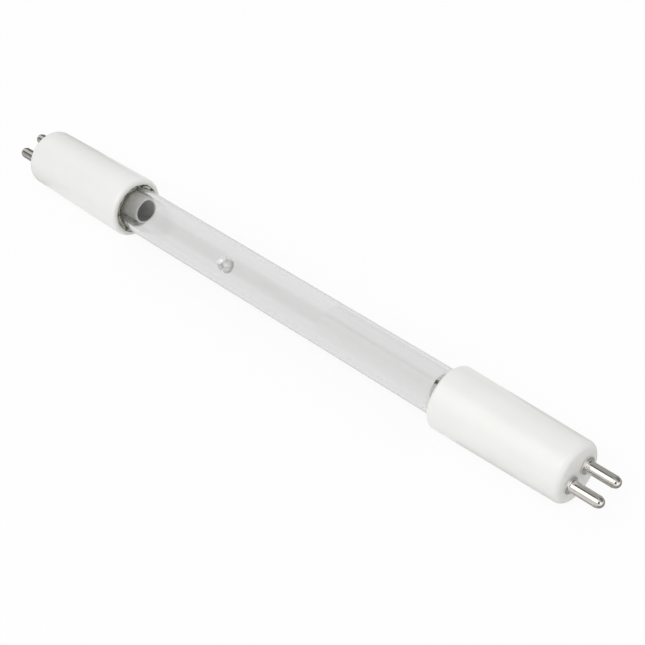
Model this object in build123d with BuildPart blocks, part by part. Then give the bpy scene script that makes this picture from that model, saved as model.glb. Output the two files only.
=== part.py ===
"""Double-ended low-pressure UV discharge lamp with a ceramic two-pin cap on each end.

The lamp axis is X and the origin is the middle of the lamp on that axis.
The two contact pins of each cap lie side by side along Y, and Z is up.
"""
import os
from math import cos, radians, sin

from build123d import *

# Caps
body_length = 138.0
cap_length = 27.8
cap_wall = 1.3
cap_draft = 0.4
cap_mouth_round = 0.8
cap_face_round = 1.1
cap_end_wall = 5.0
bore_chamfer = 0.15

# Quartz tube, drawn down at each end to a solid seal round the lead
tube_diameter = 9.0
tube_wall = 0.9
shoulder_length = 1.8
shoulder_round = 1.6
seal_diameter = 4.0
seal_length = 4.5
seal_neck_round = 0.8
wiring_space = 7.0

# Exhaust drop where the tube was melted shut, on the side of the tube
drop_x = -11.2
drop_angle = 120.0
drop_diameter = 3.3
drop_height = 1.5
drop_blend = 0.35
drop_hollow_diameter = 2.5

# Cement ring between tube and bore
cement_gap = 0.4
cement_recess = 0.5

# Cathode cups and the leads that carry them
cup_diameter = 5.3
cup_wall = 0.35
cup_length = 9.0
cup_round = 0.8
cup_offset = 0.5
lead_diameter = 0.8
lead_exposed = 5.0
lead_tail = 1.5
right_set_back = 0.4
wire_diameter = 0.6
wire_bend = 1.2

# Contact pins
pin_spacing = 4.5
pin_diameter = 2.2
pin_length = 6.8
pin_tip_step = 0.07
collar_width = 0.58
collar_thickness = 0.4
collar_chamfer = 0.08
stem_diameter = 1.4
stem_clearance = 0.05
head_diameter = 2.4
head_thickness = 0.5
dimple_depth = 0.4
wire_clearance = 0.15

# Radii and stations along the axis that follow from the sizes above, for the +X end
tube_radius = tube_diameter / 2
tube_inner_radius = tube_radius - tube_wall
bore_radius = tube_radius + cement_gap
cap_mouth_radius = bore_radius + cap_wall
cap_face_radius = cap_mouth_radius - cap_draft
seal_radius = seal_diameter / 2
lead_radius = lead_diameter / 2
wire_radius = wire_diameter / 2
cup_radius = cup_diameter / 2
pin_radius = pin_diameter / 2
dimple_radius = wire_radius + wire_clearance
stem_radius = stem_diameter / 2
pin_tip_radius = pin_radius - pin_tip_step
collar_radius = pin_radius + collar_width
flare_round = collar_width - 2 * collar_chamfer

face_x = body_length / 2
mouth_x = face_x - cap_length
floor_x = face_x - cap_end_wall
seal_end_x = floor_x - wiring_space
shoulder_end_x = seal_end_x - seal_length
straight_end_x = shoulder_end_x - shoulder_length
lead_end_x = seal_end_x + lead_tail
wire_x = lead_end_x + wire_radius
head_x = floor_x - head_thickness
wire_end_x = head_x + dimple_depth

os.makedirs("parts", exist_ok=True)


def save(piece, label):
    """Name a finished piece and write it as its own file."""
    piece.part.label = label
    export_step(piece.part, f"parts/{label}.step")


def corner(sketch, x, radius):
    """The corner of a profile that lies at (x, radius)."""
    return sketch.vertices().sort_by_distance((x, radius, 0))[0]


# The tube is one piece of glass: half its section turned about the axis, then mirrored to the other end
with BuildPart() as quartz_tube:
    with BuildSketch() as tube_section:
        with BuildLine():
            Polyline(
                (0, tube_inner_radius),
                (straight_end_x - tube_wall / 2, tube_inner_radius),
                (shoulder_end_x, lead_radius),
                (seal_end_x, lead_radius),
                (seal_end_x, seal_radius),
                (shoulder_end_x, seal_radius),
                (straight_end_x, tube_radius),
                (0, tube_radius),
                close=True,
            )
        make_face()
        fillet(corner(tube_section, straight_end_x, tube_radius), shoulder_round)
        fillet(corner(tube_section, straight_end_x - tube_wall / 2, tube_inner_radius), shoulder_round)
        fillet(corner(tube_section, shoulder_end_x, seal_radius), seal_neck_round)
    revolve(axis=Axis.X)
    mirror(about=Plane.YZ)

    # The drop stands out along drop_angle, measured about X from +Y towards +Z, and is hollow like the tube
    drop_plane = Plane(
        origin=(drop_x, 0, 0),
        x_dir=(1, 0, 0),
        z_dir=(0, -sin(radians(drop_angle)), cos(radians(drop_angle))),
    )
    drop_axis = Axis((drop_x, 0, 0), (0, cos(radians(drop_angle)), sin(radians(drop_angle))))
    for skin_radius, diameter, mode in (
        (tube_radius, drop_diameter, Mode.ADD),
        (tube_inner_radius, drop_hollow_diameter, Mode.SUBTRACT),
    ):
        drop_foot = skin_radius - tube_wall / 2
        drop_top = skin_radius + drop_height
        with BuildSketch(drop_plane):
            with BuildLine():
                Polyline((diameter / 2, drop_foot), (0, drop_foot), (0, drop_top))
                EllipticalCenterArc((0, drop_foot), diameter / 2, drop_top - drop_foot, arc_size=90)
            make_face()
        revolve(axis=drop_axis, mode=mode)
        fillet(quartz_tube.edges(Select.NEW), drop_blend)
save(quartz_tube, "quartz_tube")

# Both ends are alike and face away from the middle of the lamp, but the right cathode sits a little deeper
for side, facing, set_back in (("left", -1, 0), ("right", 1, right_set_back)):
    # Cap: a turned and drafted ceramic cup, with two holes through its end wall for the pins
    pin_face = Plane(origin=(facing * face_x, 0, 0), x_dir=(0, 1, 0), z_dir=(facing, 0, 0))
    with BuildPart() as end_cap:
        with BuildSketch() as cap_section:
            with BuildLine():
                Polyline(
                    (facing * mouth_x, bore_radius),
                    (facing * mouth_x, cap_mouth_radius),
                    (facing * face_x, cap_face_radius),
                    (facing * face_x, 0),
                    (facing * floor_x, 0),
                    (facing * floor_x, bore_radius),
                    close=True,
                )
            make_face()
            fillet(corner(cap_section, facing * mouth_x, cap_mouth_radius), cap_mouth_round)
            fillet(corner(cap_section, facing * face_x, cap_face_radius), cap_face_round)
            chamfer(corner(cap_section, facing * mouth_x, bore_radius), bore_chamfer)
        revolve(axis=Axis.X)
        with BuildSketch(pin_face):
            with GridLocations(pin_spacing, 0, 2, 1):
                Circle(stem_radius + stem_clearance)
        extrude(amount=-cap_end_wall, mode=Mode.SUBTRACT)
    save(end_cap, f"end_cap_{side}")

    # Cement: fills the gap between tube and bore, from just inside the mouth to the tube's shoulder
    with BuildPart() as cement_ring:
        with BuildSketch(Plane(origin=(facing * (mouth_x + cement_recess), 0, 0), z_dir=(facing, 0, 0))):
            Circle(bore_radius)
            Circle(tube_radius, mode=Mode.SUBTRACT)
        extrude(amount=straight_end_x - shoulder_round - mouth_x - cement_recess)
    save(cement_ring, f"cement_ring_{side}")

    # Cathode: a drawn metal cup with its mouth towards the middle of the lamp, a little off the tube's axis
    cup_base_x = shoulder_end_x - lead_exposed + set_back
    cup_mouth_x = cup_base_x - cup_length
    with BuildPart() as cathode_cup:
        with BuildSketch(Plane(origin=(0, cup_offset, 0))) as cup_section:
            with BuildLine():
                Polyline(
                    (facing * cup_mouth_x, cup_radius - cup_wall),
                    (facing * cup_mouth_x, cup_radius),
                    (facing * cup_base_x, cup_radius),
                    (facing * cup_base_x, 0),
                    (facing * (cup_base_x - cup_wall), 0),
                    (facing * (cup_base_x - cup_wall), cup_radius - cup_wall),
                    close=True,
                )
            make_face()
            fillet(corner(cup_section, facing * cup_base_x, cup_radius), cup_round)
            fillet(
                corner(cup_section, facing * (cup_base_x - cup_wall), cup_radius - cup_wall),
                cup_round - cup_wall,
            )
        revolve(axis=Axis((0, cup_offset, 0), (1, 0, 0)))
    save(cathode_cup, f"cathode_cup_{side}")

    # Lead: a rod welded to the cup's base that passes through the seal
    with BuildPart() as lead_rod:
        with BuildSketch(Plane(origin=(facing * cup_base_x, 0, 0), z_dir=(facing, 0, 0))):
            Circle(lead_radius)
        extrude(amount=lead_end_x - cup_base_x)
    save(lead_rod, f"lead_rod_{side}")

    # Bridge: one bent wire across the end of the lead, with a leg soldered into the dimple of each pin
    with BuildPart() as bridge_wire:
        with BuildLine():
            wire_path = FilletPolyline(
                (facing * wire_end_x, -pin_spacing / 2),
                (facing * wire_x, -pin_spacing / 2),
                (facing * wire_x, pin_spacing / 2),
                (facing * wire_end_x, pin_spacing / 2),
                radius=wire_bend,
            )
        with BuildSketch(Plane(origin=wire_path @ 0, z_dir=wire_path % 0)):
            Circle(wire_radius)
        sweep()
    save(bridge_wire, f"bridge_wire_{side}")

    # Pins: turned contacts, flared into a collar on the cap's face, staked over inside the cap,
    # with a solder dimple in the staked end
    for row, pin_y in (("front", -pin_spacing / 2), ("rear", pin_spacing / 2)):
        pin_plane = Plane(origin=(facing * face_x, pin_y, 0), x_dir=(facing, 0, 0), z_dir=(0, 0, 1))
        tip_x = pin_length - pin_tip_radius
        inner_end = head_x - face_x
        with BuildPart() as contact_pin:
            with BuildSketch(pin_plane) as pin_section:
                with BuildLine():
                    Polyline(
                        (pin_length, 0),
                        (inner_end + dimple_depth, 0),
                        (inner_end + dimple_depth, dimple_radius),
                        (inner_end, dimple_radius),
                        (inner_end, head_diameter / 2),
                        (-cap_end_wall, head_diameter / 2),
                        (-cap_end_wall, stem_radius),
                        (0, stem_radius),
                        (0, collar_radius),
                        (collar_thickness, collar_radius),
                        (collar_thickness, pin_radius),
                        (tip_x, pin_radius),
                        (tip_x, pin_tip_radius),
                    )
                    CenterArc((tip_x, 0), pin_tip_radius, 0, 90)
                make_face()
                fillet(corner(pin_section, collar_thickness, pin_radius), flare_round)
                chamfer(corner(pin_section, collar_thickness, collar_radius), collar_chamfer)
            revolve(axis=Axis((0, pin_y, 0), (1, 0, 0)))
        save(contact_pin, f"contact_pin_{side}_{row}")
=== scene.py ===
from math import ceil, cos, exp, pi, radians, sin, sqrt

import bmesh
import bpy
from mathutils import Matrix, Vector, noise


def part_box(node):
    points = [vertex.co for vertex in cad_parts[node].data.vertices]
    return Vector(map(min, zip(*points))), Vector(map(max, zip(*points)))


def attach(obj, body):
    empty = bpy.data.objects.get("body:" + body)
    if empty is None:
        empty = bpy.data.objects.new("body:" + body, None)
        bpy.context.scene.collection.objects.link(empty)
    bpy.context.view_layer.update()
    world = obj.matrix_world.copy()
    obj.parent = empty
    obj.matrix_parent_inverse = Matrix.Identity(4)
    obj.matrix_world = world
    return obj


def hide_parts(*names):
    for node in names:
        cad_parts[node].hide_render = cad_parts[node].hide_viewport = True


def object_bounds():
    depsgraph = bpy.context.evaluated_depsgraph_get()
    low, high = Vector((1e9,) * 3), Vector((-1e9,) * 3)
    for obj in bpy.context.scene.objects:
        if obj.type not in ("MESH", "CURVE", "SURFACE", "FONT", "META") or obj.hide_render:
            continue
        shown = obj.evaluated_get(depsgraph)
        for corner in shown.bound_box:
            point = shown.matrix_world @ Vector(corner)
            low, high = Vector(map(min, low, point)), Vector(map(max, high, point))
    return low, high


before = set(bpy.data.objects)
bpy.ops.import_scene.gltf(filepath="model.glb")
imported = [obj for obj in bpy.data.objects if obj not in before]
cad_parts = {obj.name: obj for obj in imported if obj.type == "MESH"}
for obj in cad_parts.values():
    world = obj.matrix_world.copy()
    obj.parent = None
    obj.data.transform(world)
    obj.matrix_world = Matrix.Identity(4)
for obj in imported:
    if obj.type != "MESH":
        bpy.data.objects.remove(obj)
cad_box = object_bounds()


# Cathode cups
# Two deep-drawn nickel cups, one in each end of the tube, with a dark emissive coat baked inside.
# Running the lamp has spread a mottled grey deposit over the side of each cup, towards its base.
MM = 0.001  # the frame is in metres, and the sizes of the pieces here are in mm
ENDS = (("left", -1), ("right", 1))
CUP_WALL, CUP_ROUND, CUP_LIP = 0.35, 0.8, 0.12
TURN_STEP, TOUCH = 0.07, 0.01


def linear(hex_colour):
    """An sRGB hex colour as linear red, green, blue and alpha."""
    channels = [int(hex_colour[i:i + 2], 16) / 255 for i in (1, 3, 5)]
    return [c / 12.92 if c <= 0.04045 else ((c + 0.055) / 1.055) ** 2.4 for c in channels] + [1.0]


def add(tree, kind, inputs=None, **settings):
    """Add a node with its settings, and link or set its inputs, which are given by name or number."""
    node = tree.nodes.new(kind)
    for key, value in settings.items():
        setattr(node, key, value)
    for key, value in (inputs or {}).items():
        if isinstance(value, bpy.types.NodeSocket):
            tree.links.new(value, node.inputs[key])
        else:
            node.inputs[key].default_value = value
    return node


def start_material(name):
    """A new material's node tree with its shader, and a coordinate in metres on the piece."""
    material = bpy.data.materials.new(name)
    material.use_nodes = True
    tree = material.node_tree
    place = add(tree, "ShaderNodeTexCoord").outputs["Object"]
    return material, tree, tree.nodes["Principled BSDF"].inputs, place


def grain(size_mm):
    """The noise scale that makes features about size_mm across, in coordinates of metres."""
    return 1 / (size_mm * MM)


def in_mm(node):
    """The lowest and highest corner of a node in mm."""
    low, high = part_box(node)
    return Vector(low) / MM, Vector(high) / MM


def rounded(corners, steps=6):
    """An outline from (x, radius, rounding) corners, with each rounding drawn as a tangent arc."""
    outline = []
    for i, (x, y, rounding) in enumerate(corners):
        here = Vector((x, y))
        if not rounding:
            outline.append((x, y))
            continue
        before = (Vector(corners[i - 1][:2]) - here).normalized()
        after = (Vector(corners[(i + 1) % len(corners)][:2]) - here).normalized()
        half = before.angle(after) / 2
        middle = here + (before + after).normalized() * (rounding / sin(half))
        first = here + before * (rounding * cos(half) / sin(half)) - middle
        last = here + after * (rounding * cos(half) / sin(half)) - middle
        sweep = -first.angle_signed(last)
        for k in range(steps + 1):
            outline.append(tuple(middle + Matrix.Rotation(sweep * k / steps, 2) @ first))
    return outline


def stations(start, stop, step):
    """Evenly spaced places from start to stop, no more than step apart, both ends included."""
    count = max(1, ceil(abs(stop - start) / step))
    return [start + (stop - start) * k / count for k in range(count + 1)]


def lathe(name, outline, turns, shape=None, centre=(0, 0)):
    """Turn a closed outline of (x, radius) in mm about a line along X that passes through centre (y, z).

    turns are the angles of its steps, from +Y towards +Z. shape, if given, moves each
    (x, radius, angle) to the (x, radius) that the real piece has there.
    """
    rings, points, faces = [], [], []
    for x, radius in outline:
        if radius < 1e-6:
            rings.append([len(points)] * len(turns))
            points.append((x, *centre))
            continue
        rings.append(range(len(points), len(points) + len(turns)))
        for angle in turns:
            at, out = shape(x, radius, angle) if shape else (x, radius)
            points.append((at, centre[0] + out * cos(angle), centre[1] + out * sin(angle)))
    for near, far in zip(rings, rings[1:] + rings[:1]):
        for k in range(len(turns)):
            corners = tuple(dict.fromkeys((near[k - 1], far[k - 1], far[k], near[k])))
            if len(corners) > 2:
                faces.append(corners)
    mesh = bpy.data.meshes.new(name)
    mesh.from_pydata([Vector(point) * MM for point in points], [], faces)
    outwards = bmesh.new()
    outwards.from_mesh(mesh)
    bmesh.ops.recalc_face_normals(outwards, faces=outwards.faces)
    outwards.to_mesh(mesh)
    outwards.free()
    piece = bpy.data.objects.new(name, mesh)
    bpy.context.scene.collection.objects.link(piece)
    return piece


def finish_surface(piece, *materials, crease=35):
    """Give a piece its materials, and shade it smooth but for edges sharper than crease degrees."""
    piece.data.materials.clear()
    for material in materials:
        piece.data.materials.append(material)
    piece.data.shade_smooth()
    piece.data.set_sharp_from_angle(angle=radians(crease))
    piece.modifiers.new("even_shading", "WEIGHTED_NORMAL").keep_sharp = True


def fit_in_place(piece, node):
    """Let a piece ride with the lamp and stand in for a node."""
    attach(piece, "root")
    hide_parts(node)


def drawn_nickel():
    """Drawn nickel sheet: a soft grey metal sheen, clean at the mouth and dull with deposit at the base.

    On the lip of the right cup lie a painted dark reflection and a painted white highlight, each given by
    its centre, radius and colour.
    """
    mottle_mm, clean_mm, clouded_mm = 0.5, 39.0, 42.0
    clean_level, clouded_level = -0.35, 0.75
    sheet_sheen, deposit_sheen, deposit_metal = 0.38, 0.6, 0.05
    painted_lip_glints = (((39.2, -0.14, 2.57), 0.6, "#262624"), ((39.4, -0.95, 2.2), 0.75, "#FFFFFF"))
    lip_glint_core = 0.6
    material, tree, shader, place = start_material("drawn_nickel")
    mottle = add(tree, "ShaderNodeTexNoise", {"Vector": place, "Scale": grain(mottle_mm), "Detail": 4.0})
    along = add(tree, "ShaderNodeSeparateXYZ", {0: place}).outputs["X"]
    depth = add(tree, "ShaderNodeMath", {0: along}, operation="ABSOLUTE")
    cloud = add(tree, "ShaderNodeMapRange", {
        "Value": depth.outputs[0], "From Min": clean_mm * MM, "From Max": clouded_mm * MM,
        "To Min": clean_level, "To Max": clouded_level})
    patchy = add(tree, "ShaderNodeMath", {0: cloud.outputs[0], 1: mottle.outputs["Fac"]}, use_clamp=True)
    sheen = add(tree, "ShaderNodeMapRange", {
        "Value": mottle.outputs["Fac"], "To Min": sheet_sheen, "To Max": deposit_sheen})
    tone = add(tree, "ShaderNodeMix", {
        0: patchy.outputs[0], 6: linear("#ECECEA"), 7: linear("#E4E2DA")}, data_type="RGBA").outputs[2]
    metal = add(tree, "ShaderNodeMapRange", {
        "Value": patchy.outputs[0], "To Min": 1.0, "To Max": deposit_metal}).outputs[0]
    # Painted reflection and highlight: a dark spot and a white spot on the lip, where the metal is taken
    # out.
    for lip_glint_at, lip_glint_mm, colour in painted_lip_glints:
        gap = add(tree, "ShaderNodeVectorMath", {0: place, 1: Vector(lip_glint_at) * MM}, operation="DISTANCE")
        lip_glint = add(tree, "ShaderNodeMapRange", {
            "Value": gap.outputs["Value"], "From Min": lip_glint_mm * MM,
            "From Max": lip_glint_core * lip_glint_mm * MM}).outputs[0]
        tone = add(tree, "ShaderNodeMix", {0: lip_glint, 6: tone, 7: linear(colour)}, data_type="RGBA").outputs[2]
        metal = add(tree, "ShaderNodeMath", {0: metal, 1: lip_glint}, operation="SUBTRACT",
                    use_clamp=True).outputs[0]
    tree.links.new(tone, shader["Base Color"])
    tree.links.new(sheen.outputs[0], shader["Roughness"])
    tree.links.new(metal, shader["Metallic"])
    return material


def emissive_coat():
    """A baked oxide coat: grey, matt and faintly grainy, its grey darkened by painted shade so the cup's
    inside shows as a dark disc.

    In the left cup painted light makes it paler, between two distances along one direction.
    """
    grain_mm, shaded_until_mm, lit_from_mm, lit_way = 0.3, 18.6, 21.3, (-0.46, 1, 0)
    material, tree, shader, place = start_material("emissive_coat")
    grit = add(tree, "ShaderNodeTexNoise", {"Vector": place, "Scale": grain(grain_mm), "Detail": 3.0})
    # Painted light: the coat is made paler towards one side, as if lit there.
    across = add(tree, "ShaderNodeVectorMath", {0: place, 1: lit_way}, operation="DOT_PRODUCT")
    lit_side = add(tree, "ShaderNodeMapRange", {
        "Value": across.outputs["Value"], "From Min": shaded_until_mm * MM, "From Max": lit_from_mm * MM})
    # Dark grey, partly the coat's own colour and partly painted shade of the cup's hollow.
    dark = add(tree, "ShaderNodeMix", {
        0: grit.outputs["Fac"], 6: linear("#545254"), 7: linear("#6A686A")}, data_type="RGBA")
    painted_lit_tone = add(tree, "ShaderNodeMix", {
        0: grit.outputs["Fac"], 6: linear("#B2B2B2"), 7: linear("#CACACA")}, data_type="RGBA")
    tone = add(tree, "ShaderNodeMix", {
        0: lit_side.outputs[0], 6: dark.outputs[2], 7: painted_lit_tone.outputs[2]}, data_type="RGBA")
    tree.links.new(tone.outputs[2], shader["Base Color"])
    shader["Roughness"].default_value = 0.8
    return material


nickel, coat = drawn_nickel(), emissive_coat()
for side, facing in ENDS:
    cup_low, cup_high = in_mm(f"cathode_cup_{side}")
    cup_r = cup_high.z
    cup_y = (cup_low.y + cup_high.y) / 2
    mouth, base = sorted((facing * cup_low.x, facing * cup_high.x))
    cup_outline = rounded([
        (mouth, cup_r - CUP_WALL, CUP_LIP),
        (mouth, cup_r, CUP_LIP),
        (base, cup_r, CUP_ROUND),
        (base, 0, 0),
        (base - CUP_WALL, 0, 0),
        (base - CUP_WALL, cup_r - CUP_WALL, CUP_ROUND - CUP_WALL),
    ])
    cup = lathe(f"cathode_shell_{side}", [(facing * x, r) for x, r in cup_outline],
                stations(0, 2 * pi, TURN_STEP)[:-1], centre=(cup_y, 0))
    finish_surface(cup, nickel, coat)
    for face in cup.data.polygons:
        across = (face.center.yz / MM - Vector((cup_y, 0))).length
        depth = facing * face.center.x / MM
        if across < cup_r - CUP_WALL + TOUCH and mouth + CUP_LIP < depth < base - CUP_WALL + TOUCH:
            face.material_index = 1
    fit_in_place(cup, f"cathode_cup_{side}")


# Lead rods
# A tungsten rod is welded to the base of each cup and passes out through the glass of the seal.
# Drawing leaves it smooth and dark grey. It lies inside the cap.
def drawn_tungsten():
    """Drawn tungsten: dark grey metal with fine lines along the rod."""
    line_mm, line_stretch = 0.15, 0.05
    material, tree, shader, place = start_material("drawn_tungsten")
    along = add(tree, "ShaderNodeMapping", {"Vector": place, "Scale": (line_stretch, 1, 1)})
    lines = add(tree, "ShaderNodeTexNoise", {
        "Vector": along.outputs[0], "Scale": grain(line_mm), "Detail": 2.0})
    tone = add(tree, "ShaderNodeMix", {
        0: lines.outputs["Fac"], 6: linear("#6F6F70"), 7: linear("#8C8C8D")}, data_type="RGBA")
    tree.links.new(tone.outputs[2], shader["Base Color"])
    shader["Metallic"].default_value = 1.0
    shader["Roughness"].default_value = 0.35
    return material


tungsten = drawn_tungsten()
for side, _ in ENDS:
    finish_surface(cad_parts[f"lead_rod_{side}"], tungsten)


# Quartz tube
# Clear fused quartz, drawn as tube, closed down onto the lead at both ends and melted shut at the
# exhaust drop on its side. Drawing leaves long faint lines in its wall, and the flame frosts the drop.
tube_low, tube_high = in_mm("quartz_tube")
TUBE_R, TUBE_WALL, QUARTZ_IOR = -tube_low.z, 0.9, 1.458
BORE_R = TUBE_R - TUBE_WALL
LEAD_R, SEAL_R = in_mm("lead_rod_right")[1].z, 2.0
SEAL_LENGTH, SHOULDER_LENGTH, SHOULDER_ROUND, NECK_ROUND = 4.5, 1.8, 1.6, 0.8
SEAL_END = tube_high.x
SHOULDER_END = SEAL_END - SEAL_LENGTH
STRAIGHT_END = SHOULDER_END - SHOULDER_LENGTH
DROP_X, DROP_ANGLE = -11.2, radians(120)
DROP_R, DROP_HEIGHT, DROP_FOOT, DROP_BLEND = 1.65, 1.5, 0.45, 0.3
HOLLOW_R, HOLLOW_HEIGHT = 1.25, 1.5
DROP_SPREAD, HOLLOW_SPREAD = 0.6, 0.4
DROP_REACH, HOLLOW_REACH = DROP_R + DROP_SPREAD, HOLLOW_R + HOLLOW_SPREAD
# The drop is an oval, longer along the tube and narrower round it, with its left flank drawn out
DROP_OVAL, DROP_TAIL = 1.12, 1.42


def blend_max(a, b, width):
    """The larger of two heights, with a rounded valley of the given width where they meet."""
    near = max(width - abs(a - b), 0) / width
    return max(a, b) + near * near * width / 4


def tube_skin(x, radius, angle):
    """The outside with the drop standing on it, and the inside with the drop's hollow."""
    turn = (angle - DROP_ANGLE + pi) % (2 * pi) - pi
    along = max((x - DROP_X) / DROP_OVAL, (x - DROP_X) / DROP_TAIL)
    away = sqrt(along ** 2 + (radius * turn * DROP_OVAL) ** 2)
    if away > DROP_REACH or radius < BORE_R - 1e-4:
        return x, radius
    outside = radius > TUBE_R - TUBE_WALL / 2
    across, top = (DROP_R, DROP_HEIGHT) if outside else (HOLLOW_R, HOLLOW_HEIGHT)
    dome = sqrt(max(0, 1 - (away / across) ** 2))
    return x, radius + blend_max((top + DROP_FOOT) * dome - DROP_FOOT, 0, DROP_BLEND)


def straight_wall(radius, run, reach):
    """Points along a straight wall between its two ends, close together where the drop stands."""
    left_share, right_share, fine_step, wide_step = 1.18, 0.86, 0.046, 4.0
    left, right = DROP_X - left_share * reach, DROP_X + right_share * reach
    places = stations(-run, left, wide_step) + stations(left, right, fine_step)[1:]
    return [(x, radius) for x in (places + stations(right, run, wide_step)[1:])[1:-1]]


def beside_drop(tree, place):
    """The way from the drop's axis to a point, the same in the drop's oval measure, and 1 on its side."""
    outward = (0, cos(DROP_ANGLE), sin(DROP_ANGLE))
    from_drop = add(tree, "ShaderNodeVectorMath", {0: place, 1: (DROP_X * MM, 0, 0)}, operation="SUBTRACT")
    height = add(tree, "ShaderNodeVectorMath", {0: from_drop.outputs[0], 1: outward},
                 operation="DOT_PRODUCT").outputs["Value"]
    rise = add(tree, "ShaderNodeVectorMath", {0: outward, "Scale": height}, operation="SCALE")
    aside = add(tree, "ShaderNodeVectorMath", {0: from_drop.outputs[0], 1: rise.outputs[0]},
                operation="SUBTRACT").outputs[0]
    near, tail = [
        add(tree, "ShaderNodeVectorMath", {0: aside, 1: (1 / stretch, DROP_OVAL, DROP_OVAL)},
            operation="MULTIPLY").outputs[0]
        for stretch in (DROP_OVAL, DROP_TAIL)
    ]
    oval = add(tree, "ShaderNodeVectorMath", {0: near, 1: tail}, operation="MAXIMUM")
    above = add(tree, "ShaderNodeMath", {0: height, 1: 0.0}, operation="GREATER_THAN")
    return aside, oval.outputs[0], above.outputs[0]


def wall_colour(tree, place, clear_of_drop):
    """The tube's wall: a light grey cast with faint lines along it, a painted streak of shade along its top
    and painted shade at its edge.
    """
    line_mm, line_stretch = 1.2, 0.015
    streak_angle, streak_edge, edge_from, edge_full = radians(113), 0.91, 0.66, 0.8
    streak_way = (0, cos(streak_angle), sin(streak_angle))
    along = add(tree, "ShaderNodeMapping", {"Vector": place, "Scale": (line_stretch, 1, 1)})
    lines = add(tree, "ShaderNodeTexNoise", {
        "Vector": along.outputs[0], "Scale": grain(line_mm), "Detail": 2.0})
    clear = add(tree, "ShaderNodeMix", {
        0: lines.outputs["Fac"], 6: linear("#DEDEDE"), 7: linear("#E2E2E2")}, data_type="RGBA")
    # Painted shade: a darker streak along the top of the tube, set by the way each point faces from the
    # axis.
    across = add(tree, "ShaderNodeVectorMath", {0: place, 1: (0, 1, 1)}, operation="MULTIPLY")
    radial = add(tree, "ShaderNodeVectorMath", {0: across.outputs[0]}, operation="NORMALIZE")
    upward = add(tree, "ShaderNodeVectorMath", {0: radial.outputs[0], 1: streak_way}, operation="DOT_PRODUCT")
    film_and_shade_streak = add(tree, "ShaderNodeMapRange", {
        "Value": upward.outputs["Value"], "From Min": streak_edge, "From Max": 1.0},
        interpolation_type="SMOOTHSTEP")
    streaked = add(tree, "ShaderNodeMix", {
        0: film_and_shade_streak.outputs[0], 6: clear.outputs[2], 7: linear("#D0D0CF")}, data_type="RGBA")
    # Painted shade: the wall turns darker where it is seen edge-on, except on the drop.
    slant = add(tree, "ShaderNodeLayerWeight", {"Blend": 0.5})
    edge = add(tree, "ShaderNodeMapRange", {
        "Value": slant.outputs["Facing"], "From Min": edge_from, "From Max": edge_full})
    wall_edge_shade = add(tree, "ShaderNodeMath", {0: edge.outputs[0], 1: clear_of_drop}, operation="MULTIPLY")
    return add(tree, "ShaderNodeMix", {
        0: wall_edge_shade.outputs[0], 6: streaked.outputs[2], 7: linear("#B2B2B2")}, data_type="RGBA").outputs[2]


def painted_drop_glints(tree, aside, above):
    """1 in two small painted highlights on the drop, each given by its place beside the axis and its radius
    in mm.
    """
    drop_glints, drop_glint_core = (((-1.5, -0.2, -0.12), 0.45), ((-0.45, 0.3, 0.17), 0.55)), 0.5
    whole = above
    # Painted highlights: two small white glints on the drop.
    for offset, drop_glint_mm in drop_glints:
        gap = add(tree, "ShaderNodeVectorMath", {0: aside, 1: Vector(offset) * MM}, operation="DISTANCE")
        beyond = add(tree, "ShaderNodeMapRange", {
            "Value": gap.outputs["Value"], "From Min": drop_glint_core * drop_glint_mm * MM, "From Max": drop_glint_mm * MM})
        whole = add(tree, "ShaderNodeMath", {0: whole, 1: beyond.outputs[0]},
                    operation="MULTIPLY").outputs[0]
    return add(tree, "ShaderNodeMath", {0: above, 1: whole}, operation="SUBTRACT").outputs[0]


def dark_drop_lines(tree, place, on_drop):
    """Thin dark lines on the drop, along the middle level of a noise."""
    flow_mm, middle, dark_line_width, dark_line_fade, dark_line_share = 0.9, 0.5, 0.01, 0.035, 0.7
    flow = add(tree, "ShaderNodeTexNoise", {"Vector": place, "Scale": grain(flow_mm), "Detail": 1.0})
    level = add(tree, "ShaderNodeMath", {0: flow.outputs["Fac"], 1: middle}, operation="SUBTRACT")
    apart = add(tree, "ShaderNodeMath", {0: level.outputs[0]}, operation="ABSOLUTE")
    dark_line = add(tree, "ShaderNodeMapRange", {
        "Value": apart.outputs[0], "From Min": dark_line_width, "From Max": dark_line_fade,
        "To Min": dark_line_share, "To Max": 0.0})
    return add(tree, "ShaderNodeMath", {0: dark_line.outputs[0], 1: on_drop}, operation="MULTIPLY").outputs[0]


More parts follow.
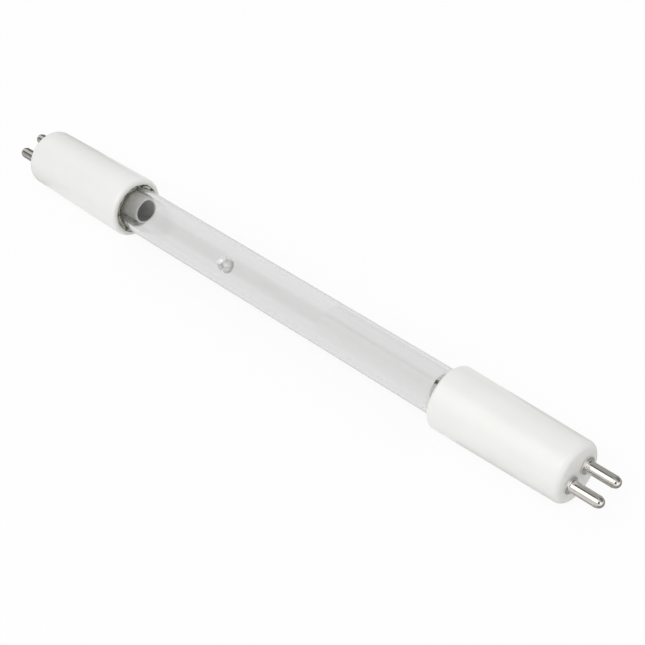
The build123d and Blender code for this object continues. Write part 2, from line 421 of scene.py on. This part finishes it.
def drawn_quartz():
    """Fused quartz outside: fire-polished and clear, but for the drop.

    The flame left the drop hazy, heavier on its left as painted light, and two white painted highlights,
    thin dark lines and painted shade at its right foot lie on it.
    """
    shade_way, foot_shade_from, foot_shade_full, foot_shade_share = (0.956, -0.253, -0.146), 0.3, 0.8, 0.55
    haze_from, haze_to, haze_left, haze_right = -0.9, 0.8, 0.84, 0.54
    drop_mm, drop_fade_mm, wall_mm, wall_fade_mm = 1.6, 1.8, 1.7, 2.2
    foot_fade_mm, foot_mm = 1.42, 1.58
    material, tree, shader, place = start_material("drawn_quartz")
    aside, oval, above = beside_drop(tree, place)
    away = add(tree, "ShaderNodeVectorMath", {0: oval}, operation="LENGTH").outputs["Value"]
    bearing = add(tree, "ShaderNodeVectorMath", {0: oval}, operation="NORMALIZE")
    toward = add(tree, "ShaderNodeVectorMath", {0: bearing.outputs[0], 1: shade_way},
                 operation="DOT_PRODUCT").outputs["Value"]
    clear_of_drop = add(tree, "ShaderNodeMapRange", {
        "Value": away, "From Min": wall_mm * MM, "From Max": wall_fade_mm * MM})
    melted = add(tree, "ShaderNodeMapRange", {
        "Value": away, "From Min": drop_fade_mm * MM, "From Max": drop_mm * MM})
    on_drop = add(tree, "ShaderNodeMath", {0: melted.outputs[0], 1: above}, operation="MULTIPLY").outputs[0]
    # The flame's haze on the drop, made heavier on its left as painted light.
    frost_and_painted_light = add(tree, "ShaderNodeMapRange", {
        "Value": toward, "From Min": haze_from, "From Max": haze_to,
        "To Min": haze_left, "To Max": haze_right}, interpolation_type="SMOOTHSTEP")
    haze_and_painted_light = add(tree, "ShaderNodeMath", {0: on_drop, 1: frost_and_painted_light.outputs[0]}, operation="MULTIPLY")
    haze_and_glints = add(tree, "ShaderNodeMath", {0: haze_and_painted_light.outputs[0], 1: painted_drop_glints(tree, aside, above)},
                  operation="MAXIMUM").outputs[0]
    # Painted shade: a dark arc round the right foot of the drop.
    shaded_side = add(tree, "ShaderNodeMapRange", {
        "Value": toward, "From Min": foot_shade_from, "From Max": foot_shade_full, "To Max": foot_shade_share})
    foot = add(tree, "ShaderNodeMapRange", {
        "Value": away, "From Min": foot_fade_mm * MM, "From Max": foot_mm * MM})
    ring = add(tree, "ShaderNodeMath", {0: foot.outputs[0], 1: on_drop}, operation="MULTIPLY")
    foot_shade = add(tree, "ShaderNodeMath", {0: shaded_side.outputs[0], 1: ring.outputs[0]}, operation="MULTIPLY")
    foot_shade_and_dark_lines = add(tree, "ShaderNodeMath", {0: foot_shade.outputs[0], 1: dark_drop_lines(tree, place, on_drop)},
               operation="MAXIMUM").outputs[0]
    wall = wall_colour(tree, place, clear_of_drop.outputs[0])
    hazed_and_glinting = add(tree, "ShaderNodeMix", {0: haze_and_glints, 6: wall, 7: linear("#FFFFFF")}, data_type="RGBA")
    # The painted shade and the dark lines take this dark grey and lose their clearness.
    tone = add(tree, "ShaderNodeMix", {0: foot_shade_and_dark_lines, 6: hazed_and_glinting.outputs[2], 7: linear("#70726C")}, data_type="RGBA")
    opaque = add(tree, "ShaderNodeMath", {0: haze_and_glints, 1: foot_shade_and_dark_lines}, operation="MAXIMUM")
    clarity = add(tree, "ShaderNodeMath", {0: 1.0, 1: opaque.outputs[0]}, operation="SUBTRACT")
    tree.links.new(clarity.outputs[0], shader["Transmission Weight"])
    tree.links.new(tone.outputs[2], shader["Base Color"])
    shader["Roughness"].default_value = 0.0
    shader["IOR"].default_value = QUARTZ_IOR
    return material


def quartz_bore():
    """Fused quartz inside: clear, but for a mottled grey deposit that the cathodes leave near each cap."""
    film_mm, clear_mm, filmed_mm = 0.5, 39.0, 42.0
    film_from, film_full, film_clarity = 0.2, 0.7, 0.5
    material, tree, shader, place = start_material("quartz_bore")
    mottle = add(tree, "ShaderNodeTexNoise", {"Vector": place, "Scale": grain(film_mm), "Detail": 4.0})
    along = add(tree, "ShaderNodeSeparateXYZ", {0: place}).outputs["X"]
    depth = add(tree, "ShaderNodeMath", {0: along}, operation="ABSOLUTE")
    near = add(tree, "ShaderNodeMapRange", {
        "Value": depth.outputs[0], "From Min": clear_mm * MM, "From Max": filmed_mm * MM})
    patchy = add(tree, "ShaderNodeMapRange", {
        "Value": mottle.outputs["Fac"], "From Min": film_from, "From Max": film_full})
    film_and_shade_streak = add(tree, "ShaderNodeMath", {0: near.outputs[0], 1: patchy.outputs[0]}, operation="MULTIPLY")
    tone = add(tree, "ShaderNodeMix", {
        0: film_and_shade_streak.outputs[0], 6: linear("#FFFFFF"), 7: linear("#E8E6DC")}, data_type="RGBA")
    clarity = add(tree, "ShaderNodeMapRange", {
        "Value": film_and_shade_streak.outputs[0], "To Min": 1.0, "To Max": film_clarity})
    tree.links.new(tone.outputs[2], shader["Base Color"])
    tree.links.new(clarity.outputs[0], shader["Transmission Weight"])
    shader["Roughness"].default_value = 0.0
    shader["IOR"].default_value = QUARTZ_IOR
    return material


DROP_TURN_STEP, WALL_TURN_STEP = 0.01, 0.025
right_end = rounded([
    (0, BORE_R, 0),
    (STRAIGHT_END - TUBE_WALL / 2, BORE_R, SHOULDER_ROUND),
    (SHOULDER_END, LEAD_R, 0),
    (SEAL_END, LEAD_R, 0),
    (SEAL_END, SEAL_R, 0),
    (SHOULDER_END, SEAL_R, NECK_ROUND),
    (STRAIGHT_END, TUBE_R, SHOULDER_ROUND),
    (0, TUBE_R, 0),
])[1:-1]
left_end = [(-x, r) for x, r in reversed(right_end)]
inner_wall = straight_wall(BORE_R, right_end[0][0], HOLLOW_REACH)
outer_wall = straight_wall(TUBE_R, right_end[-1][0], DROP_REACH)
half_turn = DROP_REACH / TUBE_R
tube_turns = stations(DROP_ANGLE - half_turn, DROP_ANGLE + half_turn, DROP_TURN_STEP)
tube_turns += stations(DROP_ANGLE + half_turn, DROP_ANGLE - half_turn + 2 * pi, WALL_TURN_STEP)[1:-1]
tube = lathe("quartz_envelope", inner_wall + right_end + outer_wall[::-1] + left_end, tube_turns, tube_skin)
finish_surface(tube, drawn_quartz(), quartz_bore(), crease=50)
for face in tube.data.polygons:
    inside = face.center.yz.length < (TUBE_R - TUBE_WALL / 2) * MM
    if inside and abs(face.center.x) < right_end[0][0] * MM:
        face.material_index = 1
fit_in_place(tube, "quartz_tube")


# Bridge wires
# A nickel wire is bent across the tail of each lead, and its two legs are soldered to the pins.
# It is bare and bright, and lies inside the cap.
def annealed_nickel():
    """Annealed nickel wire: a warm light grey metal with a soft, slightly uneven sheen."""
    patch_mm, bright, dull = 0.8, 0.25, 0.45
    material, tree, shader, place = start_material("annealed_nickel")
    patch = add(tree, "ShaderNodeTexNoise", {"Vector": place, "Scale": grain(patch_mm), "Detail": 3.0})
    sheen = add(tree, "ShaderNodeMapRange", {
        "Value": patch.outputs["Fac"], "To Min": bright, "To Max": dull})
    tone = add(tree, "ShaderNodeMix", {
        0: patch.outputs["Fac"], 6: linear("#A19D97"), 7: linear("#B9B6B0")}, data_type="RGBA")
    tree.links.new(tone.outputs[2], shader["Base Color"])
    tree.links.new(sheen.outputs[0], shader["Roughness"])
    shader["Metallic"].default_value = 1.0
    return material


wire_nickel = annealed_nickel()
for side, _ in ENDS:
    finish_surface(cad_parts[f"bridge_wire_{side}"], wire_nickel)


# End caps
# Two white steatite cups, pressed with a slight draft and fired to a satin skin. Each is cemented
# over one end of the tube, and its end wall carries two contact pins.
def satin_steatite():
    """Fired steatite: bright, faintly warm white, with soft clouds, a satin sheen and a fine grain."""
    cloud_mm, smooth, rough = 6.0, 0.28, 0.42
    grain_mm, grain_height_mm, grain_strength = 0.4, 0.02, 0.12
    ripple_mm, ripple_height_mm, ripple_strength = 4.0, 0.06, 0.3
    material, tree, shader, place = start_material("satin_steatite")
    cloud = add(tree, "ShaderNodeTexNoise", {"Vector": place, "Scale": grain(cloud_mm), "Detail": 3.0})
    pressed = add(tree, "ShaderNodeTexNoise", {"Vector": place, "Scale": grain(grain_mm), "Detail": 4.0})
    ripple = add(tree, "ShaderNodeTexNoise", {"Vector": place, "Scale": grain(ripple_mm), "Detail": 1.0})
    tone = add(tree, "ShaderNodeMix", {
        0: cloud.outputs["Fac"], 6: linear("#ECECE9"), 7: linear("#F2F2F0")}, data_type="RGBA")
    sheen = add(tree, "ShaderNodeMapRange", {
        "Value": pressed.outputs["Fac"], "To Min": smooth, "To Max": rough})
    wavy = add(tree, "ShaderNodeBump", {
        "Height": ripple.outputs["Fac"], "Strength": ripple_strength, "Distance": ripple_height_mm * MM})
    skin = add(tree, "ShaderNodeBump", {
        "Height": pressed.outputs["Fac"], "Strength": grain_strength, "Distance": grain_height_mm * MM,
        "Normal": wavy.outputs["Normal"]})
    tree.links.new(tone.outputs[2], shader["Base Color"])
    tree.links.new(sheen.outputs[0], shader["Roughness"])
    tree.links.new(skin.outputs["Normal"], shader["Normal"])
    shader["IOR"].default_value = 1.55
    return material


steatite = satin_steatite()
for side, _ in ENDS:
    finish_surface(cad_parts[f"end_cap_{side}"], steatite)


# Contact pins
# Brass pins, turned and plated with bright nickel, two in each cap. Each is flared into a collar on
# the face of the cap, and staked over on its inside.
PIN_LENGTH, PIN_R, PIN_TIP_R, TIP_EDGE, TIP_STEP = 6.8, 1.1, 1.03, 0.05, 0.08
COLLAR_R, COLLAR_HEIGHT, COLLAR_EDGE, FLARE_ROUND = 1.68, 0.4, 0.08, 0.42
STEM_R, STEM_LENGTH = 0.7, 5.0
HEAD_R, HEAD_HEIGHT, HEAD_EDGE, HEAD_ROUND = 1.2, 0.5, 0.1, 0.2
DIMPLE_R, DIMPLE_DEPTH, DIMPLE_EDGE = 0.45, 0.4, 0.05


def bright_nickel_plate():
    """Bright nickel plate: a faintly warm mirror with fine turning marks round the pin and light tarnish."""
    mark_mm, mark_stretch, mark_height_mm, mark_strength = 0.15, 0.03, 0.01, 0.1
    tarnish_mm, mirror, tarnished = 1.2, 0.06, 0.18
    material, tree, shader, place = start_material("bright_nickel_plate")
    around = add(tree, "ShaderNodeMapping", {"Vector": place, "Scale": (1, mark_stretch, mark_stretch)})
    marks = add(tree, "ShaderNodeTexNoise", {
        "Vector": around.outputs[0], "Scale": grain(mark_mm), "Detail": 2.0})
    tarnish = add(tree, "ShaderNodeTexNoise", {"Vector": place, "Scale": grain(tarnish_mm), "Detail": 3.0})
    tone = add(tree, "ShaderNodeMix", {
        0: tarnish.outputs["Fac"], 6: linear("#DEDBD6"), 7: linear("#EDECE9")}, data_type="RGBA")
    gloss = add(tree, "ShaderNodeMapRange", {
        "Value": tarnish.outputs["Fac"], "To Min": mirror, "To Max": tarnished})
    turned = add(tree, "ShaderNodeBump", {
        "Height": marks.outputs["Fac"], "Strength": mark_strength, "Distance": mark_height_mm * MM})
    tree.links.new(tone.outputs[2], shader["Base Color"])
    tree.links.new(gloss.outputs[0], shader["Roughness"])
    tree.links.new(turned.outputs["Normal"], shader["Normal"])
    shader["Metallic"].default_value = 1.0
    return material


tip_x = PIN_LENGTH - PIN_TIP_R
head_end = -STEM_LENGTH - HEAD_HEIGHT
pin_outline = [(tip_x + PIN_TIP_R * cos(a), PIN_TIP_R * sin(a)) for a in stations(0, pi / 2, TIP_STEP)]
pin_outline += rounded([
    (tip_x, PIN_TIP_R, 0),
    (tip_x, PIN_R, TIP_EDGE),
    (COLLAR_HEIGHT, PIN_R, FLARE_ROUND),
    (COLLAR_HEIGHT, COLLAR_R, COLLAR_EDGE),
    (0, COLLAR_R, COLLAR_EDGE),
    (0, STEM_R, 0),
    (-STEM_LENGTH, STEM_R, 0),
    (-STEM_LENGTH, HEAD_R, HEAD_EDGE),
    (head_end, HEAD_R, HEAD_ROUND),
    (head_end, DIMPLE_R, DIMPLE_EDGE),
    (head_end + DIMPLE_DEPTH, DIMPLE_R, 0),
    (head_end + DIMPLE_DEPTH, 0, 0),
])[1:]
face_x = in_mm("end_cap_right")[1].x
plate = bright_nickel_plate()
for side, facing in ENDS:
    for row in ("front", "rear"):
        pin_low, pin_high = in_mm(f"contact_pin_{side}_{row}")
        pin = lathe(f"pin_{side}_{row}", [(facing * (face_x + x), r) for x, r in pin_outline],
                    stations(0, 2 * pi, TURN_STEP)[:-1], centre=((pin_low.y + pin_high.y) / 2, 0))
        finish_surface(pin, plate)
        fit_in_place(pin, f"contact_pin_{side}_{row}")


# Cement rings
# Grey and cream basing cement, pushed into the gap between tube and cap and wiped off by hand. Its
# edge is ragged and soiled, and shows as a dark uneven line round the mouth of each cap.
def set_cement():
    """Set cement: matt and dusty, spotted dark and cream inside, and soiled olive grey at its outer edge."""
    grain_mm, grain_height_mm, grain_strength = 0.35, 0.08, 0.6
    lip_glint_mm, clean_mm, soiled_mm = 1.1, 4.78, 4.92
    dark_level, olive_level, brown_level, cream_level = 0.38, 0.6, 0.4, 0.48
    material, tree, shader, place = start_material("set_cement")
    grit = add(tree, "ShaderNodeTexNoise", {"Vector": place, "Scale": grain(grain_mm), "Detail": 5.0})
    across = add(tree, "ShaderNodeVectorMath", {0: place, 1: (0, 1, 1)}, operation="MULTIPLY")
    out = add(tree, "ShaderNodeVectorMath", {0: across.outputs[0]}, operation="LENGTH")
    inner = add(tree, "ShaderNodeMapRange", {
        "Value": out.outputs["Value"], "From Min": soiled_mm * MM, "From Max": clean_mm * MM})
    spots = add(tree, "ShaderNodeTexNoise", {"Vector": place, "Scale": grain(lip_glint_mm), "Detail": 2.0})
    faded = add(tree, "ShaderNodeMapRange", {
        "Value": spots.outputs["Fac"], "From Min": dark_level, "From Max": olive_level})
    soiled = add(tree, "ShaderNodeMix", {
        0: faded.outputs[0], 6: linear("#3A3935"), 7: linear("#8E8C7A")}, data_type="RGBA")
    crisp = add(tree, "ShaderNodeMapRange", {
        "Value": spots.outputs["Fac"], "From Min": brown_level, "From Max": cream_level})
    clean = add(tree, "ShaderNodeMix", {
        0: crisp.outputs[0], 6: linear("#46443E"), 7: linear("#F4F2E4")}, data_type="RGBA")
    tone = add(tree, "ShaderNodeMix", {
        0: inner.outputs[0], 6: soiled.outputs[2], 7: clean.outputs[2]}, data_type="RGBA")
    rough = add(tree, "ShaderNodeBump", {
        "Height": grit.outputs["Fac"], "Strength": grain_strength, "Distance": grain_height_mm * MM})
    tree.links.new(tone.outputs[2], shader["Base Color"])
    tree.links.new(rough.outputs["Normal"], shader["Normal"])
    shader["Roughness"].default_value = 0.9
    return material


ring_high = in_mm("cement_ring_right")[1]
RIM_X = in_mm("end_cap_right")[0].x
RING_END, RING_R = ring_high.x, ring_high.z
CONTACT_R = TUBE_R - TOUCH
RING_TURN_STEP = 0.02
FRONT_FADE, WANDER_DEPTH, LUMP_HEIGHT = 0.4, 0.25, 0.15
BROAD_WAVES, SMALL_WAVES, SMALL_SHARE = 2.5, 7.0, 0.6
BROAD_LUMPS, SMALL_LUMPS, LUMP_SHARE = 9.0, 23.0, 0.5
BEAD_DEPTH, BEAD_ANGLE = 0.8, radians(195)


def wiped(x, radius, angle):
    """Cement wiped off by hand: its front wanders in depth and over the rim, and one bead stands out."""
    facing = 1 if x > 0 else -1
    front = exp(-max(0, facing * x - RIM_X) / FRONT_FADE)
    around = Vector((cos(angle), sin(angle), 2.0 * facing))
    wander = noise.noise(around * BROAD_WAVES) + SMALL_SHARE * noise.noise(around * SMALL_WAVES)
    lump = noise.noise(around * BROAD_LUMPS) + LUMP_SHARE * noise.noise(around * SMALL_LUMPS)
    spread = LUMP_HEIGHT * lump * front if radius > RING_R else 0
    bead = BEAD_DEPTH * max(0, cos(angle - BEAD_ANGLE)) ** 4
    return x + facing * (WANDER_DEPTH * wander - bead) * front, max(radius + spread, CONTACT_R)


# The front from the tube out over the rim, as the depth behind the rim and the radius
front_points = [
    (0.22, CONTACT_R), (0.1, TUBE_R + 0.1), (0.02, TUBE_R + 0.25),
    (-0.03, RING_R + 0.05), (0.02, RING_R + 0.15), (0.2, RING_R),
]
ring_outline = [(RIM_X + depth, r) for depth, r in front_points]
ring_outline += [(RING_END, RING_R), (RING_END, CONTACT_R)]
cement = set_cement()
for side, facing in ENDS:
    ring = lathe(f"cement_fill_{side}", [(facing * x, r) for x, r in ring_outline],
                 stations(0, 2 * pi, RING_TURN_STEP)[:-1], wiped)
    finish_surface(ring, cement)
    fit_in_place(ring, f"cement_ring_{side}")


# Studio
# A white paper floor in a soft white room, with one weak panel above the front of the lamp. Bent cards
# over each end and flat ones on the floor, from black to white, show only in the gloss of pins and caps.
def backdrop_rays(tree):
    """1 for rays from the camera, off gloss and through glass, which see plain white, and 0 for others."""
    ray = add(tree, "ShaderNodeLightPath").outputs
    direct = add(tree, "ShaderNodeMath", {0: ray["Is Camera Ray"], 1: ray["Is Glossy Ray"]},
                 operation="MAXIMUM")
    seen = add(tree, "ShaderNodeMath", {0: direct.outputs[0], 1: ray["Is Transmission Ray"]},
               operation="MAXIMUM")
    return seen.outputs[0]


def white_paper():
    """White paper: seen as plain white, with a share of the real light on it that keeps a faint shadow."""
    shadow_share = 0.09
    material = bpy.data.materials.new("white_paper")
    material.use_nodes = True
    tree = material.node_tree
    tree.nodes.clear()
    share = add(tree, "ShaderNodeMath", {0: backdrop_rays(tree), 1: 1 - shadow_share}, operation="MULTIPLY")
    paper = add(tree, "ShaderNodeBsdfDiffuse", {"Color": linear("#F4F4F4")})
    white = add(tree, "ShaderNodeEmission", {"Color": linear("#FFFFFF"), "Strength": 1.0})
    both = add(tree, "ShaderNodeMixShader", {0: share.outputs[0], 1: paper.outputs[0], 2: white.outputs[0]})
    add(tree, "ShaderNodeOutputMaterial", {"Surface": both.outputs[0]})
    return material


def lit_card(name, glow):
    """Card that glows evenly, as if a lamp of its own lit it: it shows as one plain tone, from black to
    bright white.
    """
    material, _, shader, _ = start_material(name)
    shader["Base Color"].default_value = linear("#000000")
    shader["Emission Color"].default_value = linear("#FFFDFA")
    shader["Emission Strength"].default_value = glow
    return material


def stage_sheet(name, rows, material):
    """A sheet of the studio, through rows of points in metres."""
    width = len(rows[0])
    corners = [point for row in rows for point in row]
    faces = [
        (r * width + k, r * width + k + 1, (r + 1) * width + k + 1, (r + 1) * width + k)
        for r in range(len(rows) - 1) for k in range(width - 1)
    ]
    mesh = bpy.data.meshes.new(name)
    mesh.from_pydata(corners, [], faces)
    mesh.materials.append(material)
    sheet = bpy.data.objects.new(name, mesh)
    bpy.context.scene.collection.objects.link(sheet)
    return sheet


floor_z, floor_reach = cad_box[0][2], 2.0
floor_rows = [[(x, y, floor_z) for x in (-floor_reach, floor_reach)] for y in (-floor_reach, floor_reach)]
stage_sheet("floor", floor_rows, white_paper())

# Bent cards: name, glow, from x to x in metres, and from angle to angle about X in degrees
card_r, card_step, card_lift = 0.1, 4, 0.0002
bent_cards = [
    ("left_0", 0.12, -0.4, -0.13, -3, 40), ("left_1", 0.6, -0.27, -0.13, 40, 102),
    ("left_2", 0.05, -0.4, -0.13, 102, 131), ("left_3", 0.3, -0.4, -0.13, 131, 176),
    ("left_tip", 0.95, -0.4, -0.27, 40, 102),
    ("right_0", 0.36, -0.05, 0.05, -3, 68), ("right_1", 0.03, -0.05, 0.05, 68, 90),
    ("right_2", 1.4, -0.05, 0.05, 90, 146), ("right_3", 0.6, -0.05, 0.05, 146, 176),
    ("right_tip_0", 0.16, 0.05, 0.25, -3, 60), ("right_tip_1", 0.5, 0.05, 0.25, 60, 92),
    ("right_tip_2", 1.4, 0.05, 0.1, 92, 145), ("right_tip_3", 0.02, 0.1, 0.19, 104, 150),
    ("right_tip_4", 1.4, 0.19, 0.4, 92, 150), ("right_tip_5", 0.7, 0.05, 0.25, 145, 176),
]
# Flat cards: name, glow, from x to x and from y to y in metres
flat_cards = [
    ("left_4", 0.3, -0.2, -0.0692, -0.1, 0.003), ("left_5", 0.12, -0.2, -0.0692, 0.003, 0.1),
    ("right_4", 0.6, 0.045, 0.0765, -0.1, -0.01), ("right_5", 0.33, 0.045, 0.0765, -0.01, 0.1),
    ("right_tip_6", 0.25, 0.0765, 0.095, -0.1, 0.1),
]
cards = []
for name, glow, near, far, start, stop in bent_cards:
    angles = [radians(angle) for angle in stations(start, stop, card_step)]
    cards.append((name, glow, near, far, [(card_r * cos(angle), card_r * sin(angle)) for angle in angles]))
for name, glow, near, far, start, stop in flat_cards:
    cards.append((name, glow, near, far, [(y, floor_z + card_lift) for y in (start, stop)]))
for name, glow, near, far, across in cards:
    rows = [[(x, y, z) for x in (near, far)] for y, z in across]
    card = stage_sheet(f"card_{name}", rows, lit_card(f"lit_card_{name}", glow))
    card.visible_camera = False
    card.visible_diffuse = False
    card.visible_transmission = False
    card.visible_shadow = False

fill_strength = 0.8
world = bpy.data.worlds.new("soft_room")
world.use_nodes = True
world.node_tree.nodes.clear()
bpy.context.scene.world = world
room = world.node_tree
fill = add(room, "ShaderNodeBackground", {"Color": linear("#FFFFFF"), "Strength": fill_strength})
white = add(room, "ShaderNodeBackground", {"Color": linear("#FFFFFF"), "Strength": 1.0})
both = add(room, "ShaderNodeMixShader", {0: backdrop_rays(room), 1: fill.outputs[0], 2: white.outputs[0]})
add(room, "ShaderNodeOutputWorld", {"Surface": both.outputs[0]})

panel_at, panel_size, panel_watts = Vector((0.05, -0.3, 0.74)), 0.5, 1.5
panel_light = bpy.data.lights.new("overhead_panel", "AREA")
panel_light.size = panel_size
panel_light.energy = panel_watts
panel = bpy.data.objects.new("overhead_panel", panel_light)
panel.location = panel_at
panel.rotation_euler = panel_at.to_track_quat("Z", "Y").to_euler()
panel.visible_camera = False
bpy.context.scene.collection.objects.link(panel)

# The camera stands to the right of the lamp's front and above it, and is turned a little about its own axis
azimuth, elevation, roll = radians(58.97), radians(50.04), radians(20.68)
aim, distance = Vector((0.00776, 0.00170, -0.00485)), 0.29569
lens_mm, sensor_mm, nearest = 88.595, 36.0, 0.01
back = Vector((sin(azimuth) * cos(elevation), -cos(azimuth) * cos(elevation), sin(elevation)))
level = Vector((0, 0, 1)).cross(back).normalized()
upright = back.cross(level)
right = level * cos(roll) - upright * sin(roll)
up = level * sin(roll) + upright * cos(roll)
turned_to_lamp = Matrix((right, up, back)).transposed().to_4x4()
camera_data = bpy.data.cameras.new("camera")
camera_data.lens = lens_mm
camera_data.sensor_width = sensor_mm
camera_data.clip_start = nearest
camera = bpy.data.objects.new("camera", camera_data)
camera.matrix_world = Matrix.Translation(aim + back * distance) @ turned_to_lamp
bpy.context.scene.collection.objects.link(camera)
bpy.context.scene.camera = camera
bpy.context.scene.view_settings.view_transform = "Standard"
